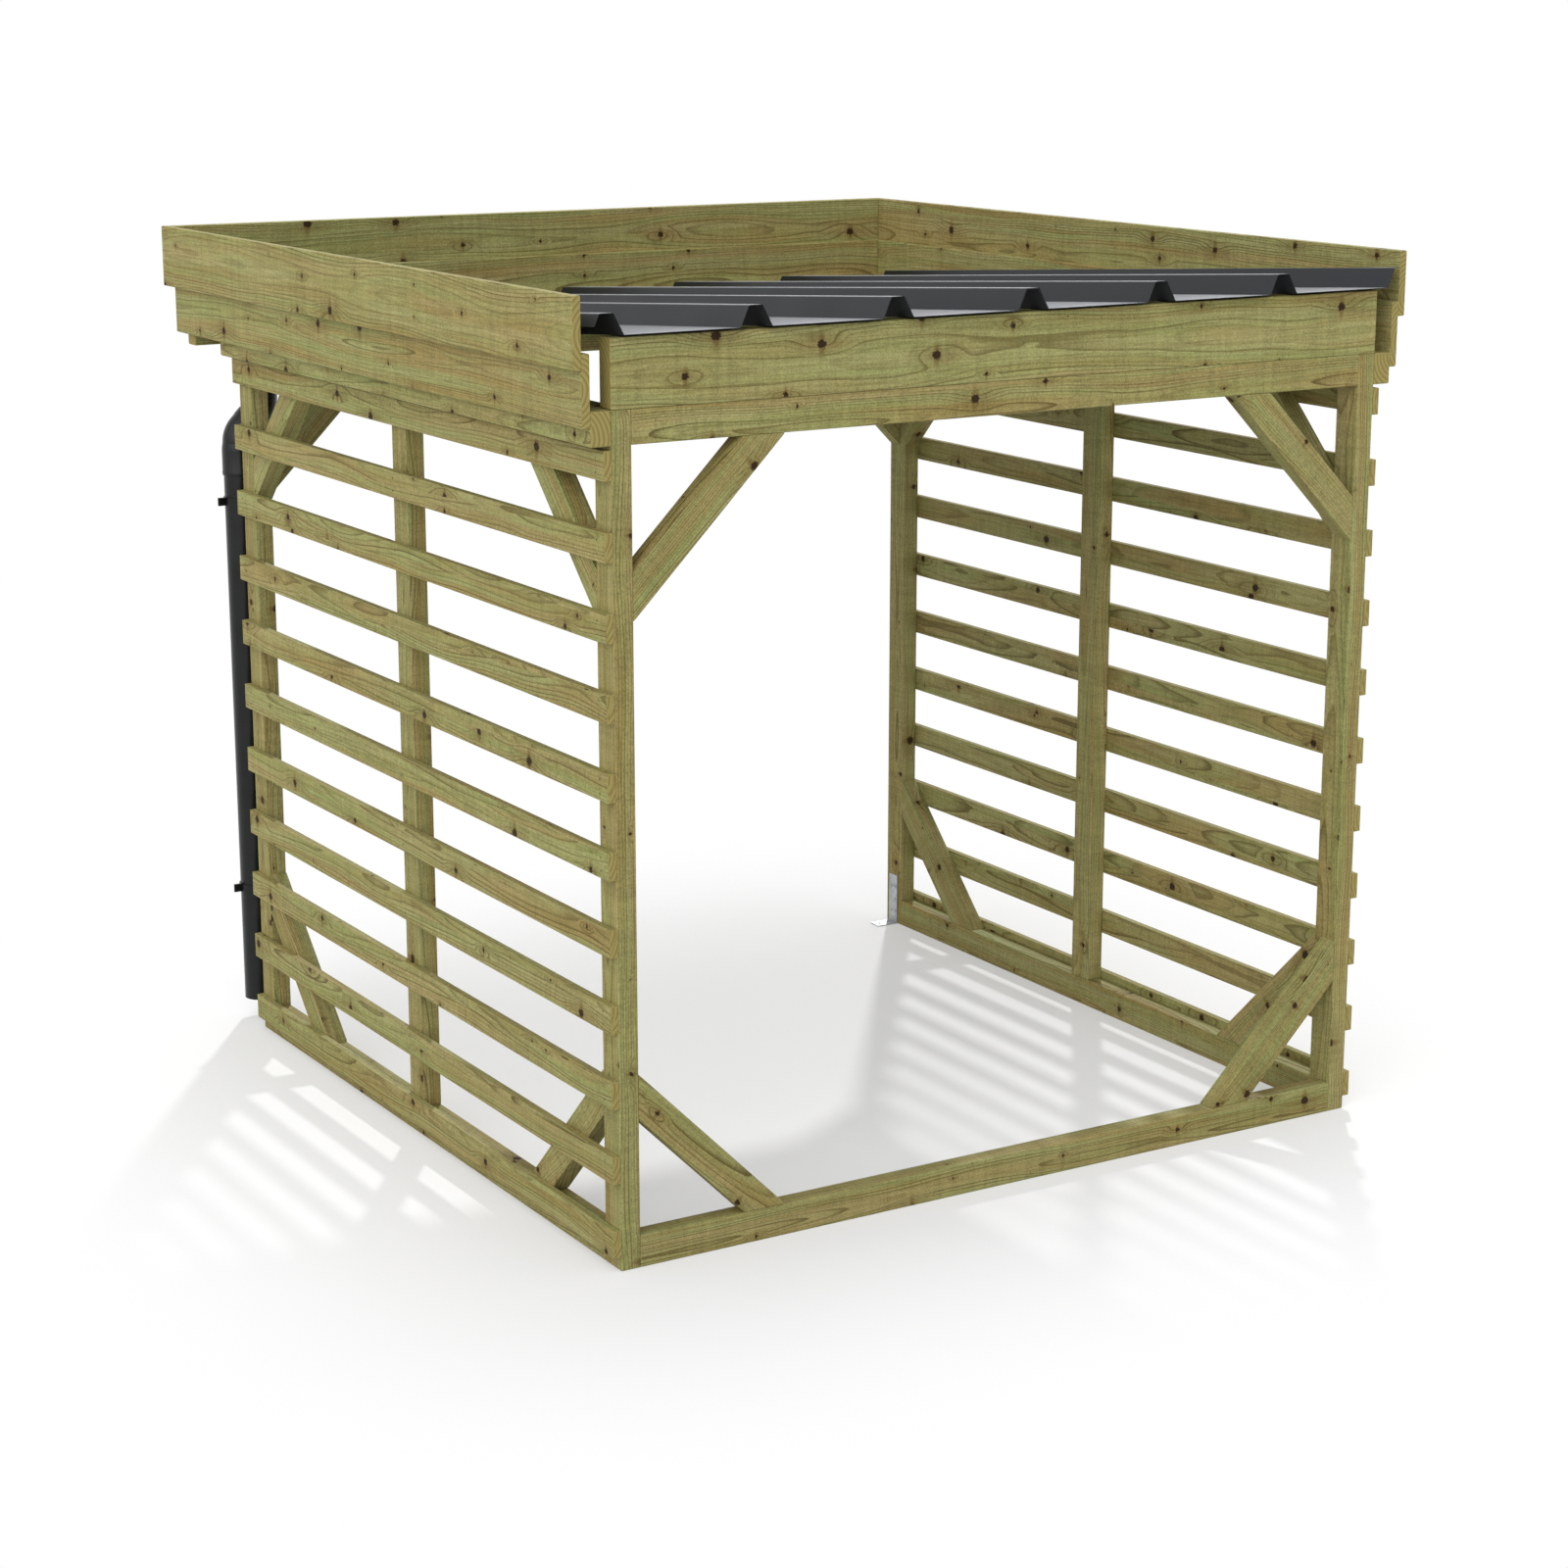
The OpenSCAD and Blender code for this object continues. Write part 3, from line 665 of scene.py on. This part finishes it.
galvanised, tree = new_material("hot_dip_galvanised_steel")
spot = add(tree, "TexCoord").outputs["Object"]
spangle = add(tree, "TexVoronoi", {"Vector": spot}, {"Scale": CRYSTALS})
crystal = add(tree, "SeparateColor", {0: spangle.outputs["Color"]})
tone = add(tree, "ValToRGB", {0: crystal.outputs["Red"]}, stops=[(0.0, "#A3A6A8"), (1.0, "#B9BBBD")])
gloss = add(tree, "MapRange", {"Value": crystal.outputs["Green"]}, {"To Min": 0.38, "To Max": 0.58})
shader = add(tree, "BsdfPrincipled", {"Base Color": tone, "Roughness": gloss}, {"Metallic": 1.0})
add(tree, "OutputMaterial", {0: shader})
for name in ("left_angle_bracket", "right_angle_bracket"):
    dress(name, galvanised)
print("galvanised steel:", len(tree.nodes), "nodes")

# %% [markdown]
# ## Extruded plastic
# Gutter and downpipe are grey plastic pushed through a die. The skin is even and half-matt, with faint
# lines along its length from the die and a little dust. Real die lines are finer than a millimetre and
# would not show, so they are drawn about 4 mm wide.

# %% Plastic of the rainwater pipes
PIPE_DUST = 14.0                    # patches to a metre: about 70 mm wide
DIE_LINES = (260.0, 260.0, 2.0)     # to a metre: about 4 mm wide and 500 mm long
DIE_DEPTH = 0.0004                  # metres
FITTINGS = ("gutter", "gutter_ends", "gutter_brackets", "gutter_outlet", "upper_elbow", "neck_pipe",
            "lower_elbow", "downpipe", "pipe_clips")

plastic, tree = new_material("extruded_pvc_anthracite")
spot = add(tree, "TexCoord").outputs["Object"]
dust = add(tree, "TexNoise", {"Vector": spot}, {"Scale": PIPE_DUST, "Detail": 5.0})
tone = add(tree, "ValToRGB", {0: dust}, stops=[(0.3, "#090A0B"), (0.75, "#121415")])
gloss = add(tree, "MapRange", {"Value": dust}, {"To Min": 0.24, "To Max": 0.34})
die = add(tree, "VectorMath", {0: spot}, {1: DIE_LINES}, operation="MULTIPLY")
die = add(tree, "TexNoise", {"Vector": die}, {"Scale": 1.0, "Detail": 1.0})
lines = add(tree, "Bump", {"Height": die}, {"Strength": 0.12, "Distance": DIE_DEPTH})
# PVC has an IOR of about 1.53. Dust dulls its mirror shine, so the specular level is half the usual one.
shader = add(tree, "BsdfPrincipled", {"Base Color": tone, "Roughness": gloss, "Normal": lines},
             {"IOR": 1.53, "Specular IOR Level": 0.25})
add(tree, "OutputMaterial", {0: shader})
for name in FITTINGS:
    dress(name, plastic)
print("plastic:", len(tree.nodes), "nodes")

# %% [markdown]
# ## Sockets and bead
# Each pipe pushes into the slightly wider socket of the next one below it, and the gutter's front rim is
# rolled into a hollow bead that keeps it straight. The sockets are turned rings, the bead is a drawn curl.
# A ring's profile is given in millimetres, as how proud of the pipe it stands and how far along the pipe.

# %% Sockets
MM = 0.001
OUTLET_SOCKET = [(0.1, 0), (0.8, 0.5), (1.2, 3), (0.9, 6), (0.9, 34), (1.4, 37), (1.4, 43), (0.9, 45.5),
                 (0.1, 46)]
PIPE_SOCKET = [(0.1, 0), (1.0, 5), (2.1, 13), (2.5, 20), (2.5, 68), (3.1, 71), (3.1, 77), (2.5, 79.5),
               (0.1, 80)]
NECK_SLEEVE = [(0.1, 0), (1.1, 1), (1.1, 21), (0.1, 22)]
PIPE_SIDES = 48

pipe_low, pipe_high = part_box("downpipe")
gutter_low, gutter_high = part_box("gutter")
gutter_y = middle("gutter").y
pipe_r = (pipe_high.x - pipe_low.x) / 2
pipe_top = Vector((middle("downpipe").x, gutter_y, pipe_high.z))
outlet_foot = Vector((middle("gutter_outlet").x, gutter_y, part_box("gutter_outlet")[0].z))
neck = Vector((1, 0, 1)).normalized()    # the slanted pipe between the elbows runs this way
sleeve_foot = (pipe_top + outlet_foot) / 2 - neck * NECK_SLEEVE[-1][1] * MM / 2

mesh = bmesh.new()
for foot, axis, profile in ((outlet_foot, (0, 0, 1), OUTLET_SOCKET), (pipe_top, (0, 0, -1), PIPE_SOCKET),
                            (sleeve_foot, neck, NECK_SLEEVE)):
    ring = [(pipe_r + proud * MM, along * MM) for proud, along in profile]
    turned(mesh, foot, axis, ring, PIPE_SIDES, ring=True)
piece("pipe_sockets", mesh, plastic)

# %% Bead
BEAD_R = 0.0065
BEAD_HOLLOW = 0.77      # inner radius as a share of the outer
BEAD_STEP = 12          # degrees from point to point
BEAD_POINTS = 26        # from the gutter's rim, most of the way round
BEAD_SET_IN = 0.001     # metres that the bead's middle lies inside the gutter's edge

angles = [math.radians(180 - BEAD_STEP * i) for i in range(BEAD_POINTS)]
curl = [Vector((BEAD_R * math.cos(a), BEAD_R * math.sin(a))) for a in angles]
hollow = [point * BEAD_HOLLOW for point in curl]
rim = Vector((0, gutter_low.y + BEAD_SET_IN, gutter_high.z + BEAD_R))
mesh = bmesh.new()
stations = [lambda p, x=x: rim + Vector((x, p.x, p.y)) for x in (gutter_low.x, 0.0, gutter_high.x)]
drawn_out(mesh, curl + hollow[::-1], stations)
piece("gutter_bead", mesh, plastic)

# %% [markdown]
# ## Nails
# Slats and fascia boards are nailed, with two nails where a slat crosses a post or the stud. The
# preservative stains their zinc, so they hardly show: it is dull, brownish and hardly a metal to the
# eye. Nails are small, so they are turned with few sides.

# %% Zinc stained by the preservative
STAINS = 160.0    # to a metre: about 6 mm wide

stained_zinc, tree = new_material("zinc_nail_stained_by_preservative")
spot = add(tree, "TexCoord").outputs["Object"]
stain = add(tree, "TexNoise", {"Vector": spot}, {"Scale": STAINS, "Detail": 2.0})
tone = add(tree, "ValToRGB", {0: stain}, stops=[(0.3, "#57512F"), (0.7, "#7A7452")])
shader = add(tree, "BsdfPrincipled", {"Base Color": tone}, {"Metallic": 0.3, "Roughness": 0.6})
add(tree, "OutputMaterial", {0: shader})
print("stained zinc:", len(tree.nodes), "nodes")

# %% Nails in the slats and the fascia
NAIL = [(0.0024, -0.002), (0.0024, 0.0003), (0.0019, 0.0007), (0.0006, 0.0009)]
NAIL_SIDES = 10
NAIL_OFF = 0.014        # of a slat's nails, above and below its middle
SUNK = 0.0012           # metres that a nail is driven into a fascia board
BOARD_NAILS = 7         # to a fascia board
FIRST_NAIL = 0.04       # metres behind a side board's front end
SIDE_BOARDS = (("lower_fascia", 0.017, 1.00), ("upper_fascia", 0.017, 1.03))    # lift, and the last nail's y
REAR_BOARDS = (("lower_fascia", 0.020, 0.97), ("upper_fascia", 0.017, 0.99))    # lift, and the last nail's x


def spaced(first, last, count):
    """Evenly spaced places from the first to the last."""
    return [first + (last - first) * i / (count - 1) for i in range(count)]


uprights = [middle(name).y for name in ("front_left_post", "left_stud", "rear_left_post")]
slat_face = slats_low.x    # the slats' outer face on the left
for side, name in ((-1, "left"), (1, "right")):
    mesh = bmesh.new()
    for i in range(SLATS):
        for y in uprights:
            for off in (-NAIL_OFF, NAIL_OFF):
                seat = (-side * slat_face, y, slat_first + slat_pitch * i + off)
                turned(mesh, seat, (side, 0, 0), NAIL, NAIL_SIDES)
    for board, lift, last in SIDE_BOARDS:
        low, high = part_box("right_" + board)
        for y in spaced(low.y + FIRST_NAIL, last, BOARD_NAILS):
            turned(mesh, (side * (high.x - SUNK), y, low.z + lift), (side, 0, 0), NAIL, NAIL_SIDES)
    piece(name + "_nails", mesh, stained_zinc)

mesh = bmesh.new()
for board, lift, last in REAR_BOARDS:
    low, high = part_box("rear_" + board)
    for x in spaced(-last, last, BOARD_NAILS):
        turned(mesh, (x, high.y - SUNK, low.z + lift), (0, 1, 0), NAIL, NAIL_SIDES)
piece("rear_nails", mesh, stained_zinc)

# %% [markdown]
# ## Screws
# The roof is held by short hexagon screws on rubber-backed washers in the flat pans, over the purlin and
# the rear plate: the photograph shows none at the front edge. Round-head screws hold the angle brackets.

# %% Roof screws
WASHER = [(0.0078, 0.0), (0.0080, 0.0012), (0.0076, 0.0028), (0.0050, 0.0034)]
WASHER_SIDES = 14
HEXAGON = [(0.0048, 0.003), (0.0048, 0.0072), (0.0042, 0.0080)]
BESIDE_RIB = 0.075      # metres from a rib's middle to the screws on each side of it

mesh = bmesh.new()
for name in ("middle_purlin", "rear_plate"):
    along = (eaves.y - middle(name).y) / math.cos(fall)
    for i in range(-RIBS, RIBS):
        for x in (SHIFT + i * PITCH + BESIDE_RIB, SHIFT + (i + 1) * PITCH - BESIDE_RIB):
            seat = eaves + up_roof * along + Vector((x, 0, 0)) + off_roof * SHEET
            turned(mesh, seat, off_roof, WASHER, WASHER_SIDES)
            turned(mesh, seat, off_roof, HEXAGON, 6)
piece("roof_screws", mesh, coated_steel)

# %% Bracket screws
ROUND_HEAD = [(0.0044, -0.001), (0.0044, 0.0006), (0.0037, 0.0019), (0.0016, 0.0026)]
HEAD_SIDES = 12
STRAP = 0.003           # thickness of an angle bracket
SCREW_OFF = 0.010       # on each side of the bracket's middle

low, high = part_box("right_angle_bracket")
bracket_y = middle("right_angle_bracket").y
mesh = bmesh.new()
for side in (-1, 1):
    for quarter in (1, 2, 3):
        for off in (-SCREW_OFF, SCREW_OFF):
            seat = (side * (high.x - STRAP), bracket_y + off, low.z + (high.z - low.z) * quarter / 4)
            turned(mesh, seat, (-side, 0, 0), ROUND_HEAD, HEAD_SIDES)
piece("bracket_screws", mesh, galvanised)

# %% [markdown]
# ## The stage
# The store stands on a plain white floor under an even white sky. The camera sees the floor's pale paper
# with some plain white added, so that it is white in the open and its shadows stay light. The white grows
# until the shadows have faded a metre away from the store, as in the photograph. Metal mirrors the same
# white.

# %% Floor
FLOOR_HALF = 40.0               # metres
PLAIN_WHITE = 0.32              # share of white that is added to the paper where it is seen
SHADOW_ROOM = (0.9, 1.0, 0.0)   # metres from the middle where shadows are kept in full
FADE = 1.1                      # metres beyond that, until they are gone


def seen_rays(tree):
    """1 for rays that show the stage to the camera, straight, in metal or through glass, and else 0."""
    rays = add(tree, "LightPath").outputs
    seen = add(tree, "Math", {0: rays["Is Camera Ray"], 1: rays["Is Glossy Ray"]}, operation="MAXIMUM")
    return add(tree, "Math", {0: seen, 1: rays["Is Transmission Ray"]}, operation="MAXIMUM")


floor = bpy.data.objects.new("floor", bpy.data.meshes.new("floor"))
corners = [(x * FLOOR_HALF, y * FLOOR_HALF, 0) for x, y in ((-1, -1), (1, -1), (1, 1), (-1, 1))]
floor.data.from_pydata(corners, [], [(0, 1, 2, 3)])
bpy.context.collection.objects.link(floor)
paper, tree = new_material("white_studio_floor")
seen = seen_rays(tree)
matt = add(tree, "BsdfDiffuse", values={"Color": linear("#C8C8C8")})
share = add(tree, "Math", {0: seen}, {1: PLAIN_WHITE}, operation="MULTIPLY")
plain = add(tree, "Emission", {"Strength": share})
near = add(tree, "AddShader", {0: matt, 1: plain})
spot = add(tree, "TexCoord").outputs["Object"]
away = add(tree, "VectorMath", {0: spot}, operation="ABSOLUTE")
away = add(tree, "VectorMath", {0: away}, {1: SHADOW_ROOM}, operation="SUBTRACT")
away = add(tree, "VectorMath", {0: away}, {1: (0.0, 0.0, 0.0)}, operation="MAXIMUM")
away = add(tree, "VectorMath", {0: away}, operation="LENGTH")
fade = add(tree, "MapRange", {"Value": away}, {"From Max": FADE}, interpolation_type="SMOOTHSTEP")
fade = add(tree, "Math", {0: fade, 1: seen}, operation="MULTIPLY")
white = add(tree, "Emission", values={"Strength": 1.0})
both = add(tree, "MixShader", {0: fade, 1: near, 2: white})
add(tree, "OutputMaterial", {0: both})
floor.data.materials.append(paper)
print("floor:", len(tree.nodes), "nodes")

# %% [markdown]
# ## Sky and suns
# The sky is plain white to the camera and about half as bright as a light. Three very wide suns, from the
# left, from the front left and from above, light the store so that a colour renders about as it is written,
# the left side a little lighter. A narrow sun from behind on the right throws the slats' shadows on the
# floor as bars.

# %% Sky and suns
SKY_LIGHT = 0.52        # strength of the sky as a light, where 1 is white
WIDE, NARROW = 60, 2.5  # degrees across
SUNS = {
    "wide_sun_left": (0.8, WIDE, (0.9, 0.15, -0.45)),
    "wide_sun_front_left": (1.28, WIDE, (0.62, 0.8, -0.3)),
    "wide_sun_above": (0.78, WIDE, (0.05, 0.2, -1.0)),
    "narrow_sun_behind_right": (1.75, NARROW, (-0.69, -0.95, -1.0)),
}

world = bpy.data.worlds.new("white_sky")
bpy.context.scene.world = world
world.use_nodes = True
tree = world.node_tree
tree.nodes.clear()
level = add(tree, "MapRange", {"Value": seen_rays(tree)}, {"To Min": SKY_LIGHT, "To Max": 1.0})
sky = add(tree, "Background", {"Strength": level}, {"Color": linear("#FFFFFF")})
add(tree, "OutputWorld", {0: sky})

for name, (energy, angle, way) in SUNS.items():
    sun = bpy.data.objects.new(name, bpy.data.lights.new(name, "SUN"))
    sun.data.energy = energy
    sun.data.angle = math.radians(angle)
    sun.rotation_euler = Vector(way).to_track_quat("-Z", "Y").to_euler()
    bpy.context.collection.objects.link(sun)
    print(name, energy, "W/m2, of which the floor gets", round(energy * abs(Vector(way).normalized().z), 3))
bpy.context.scene.view_settings.view_transform = "Standard"
